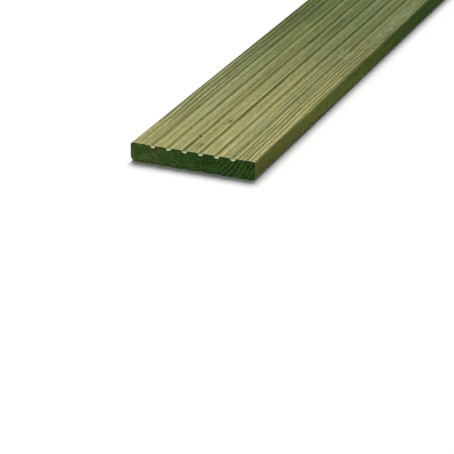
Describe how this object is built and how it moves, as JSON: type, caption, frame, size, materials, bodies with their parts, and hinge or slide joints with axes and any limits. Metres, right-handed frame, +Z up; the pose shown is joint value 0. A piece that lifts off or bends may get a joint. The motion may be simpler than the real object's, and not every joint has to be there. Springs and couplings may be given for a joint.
{
  "type": "decking board",
  "caption": "Pressure-treated softwood decking board with rounded edges and lengthwise grip grooves on both faces, laid across joists as a walking surface.",
  "frame": {"origin": "middle of the board's underside, on the surface that it lies on", "axes": "+X along the board, +Y across its width, +Z up out of the walking face"},
  "size_m": [1.8, 0.145, 0.022],
  "materials": {
    "treated_softwood": "planed and grooved pine with a green preservative tint, unfinished"
  },
  "bodies": {
    "root": {"decking_board": "treated_softwood"}
  },
  "joints": []
}
